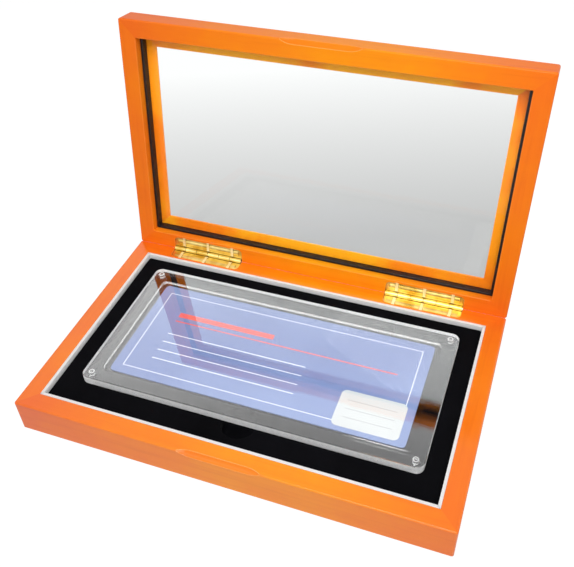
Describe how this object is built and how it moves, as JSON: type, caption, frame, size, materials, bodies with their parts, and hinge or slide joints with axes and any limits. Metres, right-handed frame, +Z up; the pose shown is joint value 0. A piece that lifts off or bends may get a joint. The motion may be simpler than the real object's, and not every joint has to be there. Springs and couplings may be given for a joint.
{
  "type": "banknote display box",
  "caption": "Shallow hinged wooden display box with a glazed lid, a velvet pad and a clear two-part holder for one large banknote.",
  "frame": {"origin": "centre of the flat underside of the base", "axes": "+X to the right along the box's long side, +Y towards the hinges at the rear, +Z up; the lid stands open"},
  "size_m": [0.27, 0.2031, 0.1867],
  "materials": {
    "wood": "lacquered, glossy, orange-brown",
    "panel": "plain fibreboard, matt",
    "liner": "white, matt",
    "velvet": "black velvet pile",
    "glass": "clear, polished",
    "bead": "black, satin",
    "brass": "bright, stamped",
    "clear_plastic": "clear, polished",
    "card": "printed, satin",
    "label": "white, satin"
  },
  "bodies": {
    "base": {"base_front_rail": "wood", "base_rear_rail": "wood", "base_left_rail": "wood", "base_right_rail": "wood", "base_bottom_panel": "panel", "liner_front": "liner", "liner_rear": "liner", "liner_left": "liner", "liner_right": "liner", "velvet_pad": "velvet", "hinge_left_base_leaf": "brass", "hinge_right_base_leaf": "brass", "hinge_left_pin": "brass", "hinge_right_pin": "brass", "base_hinge_staples": "brass"},
    "lid": {"lid_front_rail": "wood", "lid_rear_rail": "wood", "lid_left_rail": "wood", "lid_right_rail": "wood", "lid_glass": "glass", "glazing_bead_front": "bead", "glazing_bead_rear": "bead", "glazing_bead_left": "bead", "glazing_bead_right": "bead", "hinge_left_lid_leaf": "brass", "hinge_right_lid_leaf": "brass", "lid_hinge_staples": "brass"},
    "holder_rear": {"slab_rear_half": "clear_plastic"},
    "holder_front": {"slab_front_half": "clear_plastic"},
    "card": {"insert_card": "card", "card_label": "label"}
  },
  "joints": [
    {"name": "lid_hinge", "type": "hinge", "parent": "base", "child": "lid", "pos_m": [0, 0.08176, 0.02425], "axis": [1, 0, 0], "range_deg": [0, 98]},
    {"name": "holder_lift", "type": "slide", "parent": "base", "child": "holder_rear", "axis": [0, 0, 1], "range_m": [0, 0.06]},
    {"name": "holder_front_lift", "type": "slide", "parent": "holder_rear", "child": "holder_front", "axis": [0, 0, 1], "range_m": [0, 0.06]},
    {"name": "card_lift", "type": "slide", "parent": "holder_rear", "child": "card", "axis": [0, 0, 1], "range_m": [0, 0.03]}
  ],
  "couplings": [
    {"joint": "card_lift", "follows": "holder_front_lift", "ratio": 0.5}
  ]
}
